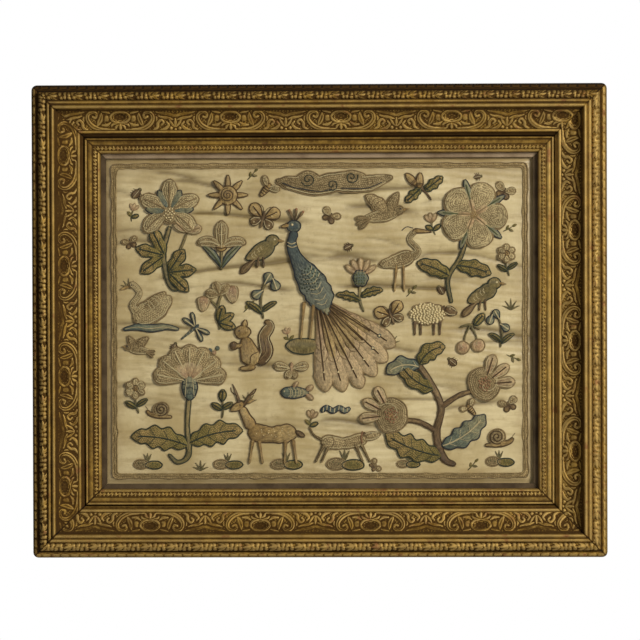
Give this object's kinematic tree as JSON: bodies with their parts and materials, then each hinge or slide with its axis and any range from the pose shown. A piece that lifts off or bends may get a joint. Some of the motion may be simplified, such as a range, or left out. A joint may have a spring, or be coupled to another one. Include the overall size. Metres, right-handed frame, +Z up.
{
  "type": "framed raised-work silkwork picture in a gilt frame",
  "caption": "Upright rectangular embroidered picture: raised slips of plants, birds and beasts on rippled satin, in a wide gilt moulded frame with a flat back.",
  "frame": {"origin": "middle of the flat back, on the backboard's back face", "axes": "+X to the right seen from the front, +Z up, the picture faces -Y"},
  "size_m": [0.526, 0.0412, 0.433],
  "materials": {
    "gilt_moulding": "old oil gilding over composition, satin, with brown dirt in its hollows and rubbed high edges",
    "gilt_slip": "old oil gilding, satin, a little brighter than the outer moulding",
    "fillet": "matte taupe paper-faced spacer",
    "backboard": "plain unfinished board",
    "satin": "aged ivory silk satin, soft sheen, faint stains",
    "braid": "couched silk braid, dull",
    "silk_slip": "raised silk needlework, dull, in tan, olive, blue-green, navy, salmon and gold threads"
  },
  "bodies": {
    "root": {"frame_bottom": "gilt_moulding", "frame_left": "gilt_moulding", "frame_top": "gilt_moulding", "frame_right": "gilt_moulding", "sight_bottom": "gilt_slip", "sight_left": "gilt_slip", "sight_top": "gilt_slip", "sight_right": "gilt_slip", "fillet_bottom": "fillet", "fillet_left": "fillet", "fillet_top": "fillet", "fillet_right": "fillet", "backboard": "backboard", "satin_ground": "satin", "braid_border": "braid", "peacock": "silk_slip", "columbine": "silk_slip", "rose": "silk_slip", "carnation": "silk_slip", "pomegranate": "silk_slip", "cloud": "silk_slip", "sun": "silk_slip", "stag": "silk_slip", "hound": "silk_slip", "squirrel": "silk_slip", "sheep": "silk_slip", "swan": "silk_slip", "heron": "silk_slip", "dove": "silk_slip", "dove_small": "silk_slip", "finch": "silk_slip", "finch_small": "silk_slip", "thistle": "silk_slip", "strawberry": "silk_slip", "acorns": "silk_slip", "bellflower": "silk_slip", "bellflower_small": "silk_slip", "daisy": "silk_slip", "daisy_right": "silk_slip", "cherries": "silk_slip", "fleur": "silk_slip", "butterfly": "silk_slip", "butterfly_low": "silk_slip", "moth": "silk_slip", "bee": "silk_slip", "bee_low": "silk_slip", "dragonfly": "silk_slip", "grub": "silk_slip", "snail": "silk_slip", "snail_right": "silk_slip", "fish": "silk_slip", "leaf_sprig": "silk_slip"}
  },
  "joints": []
}
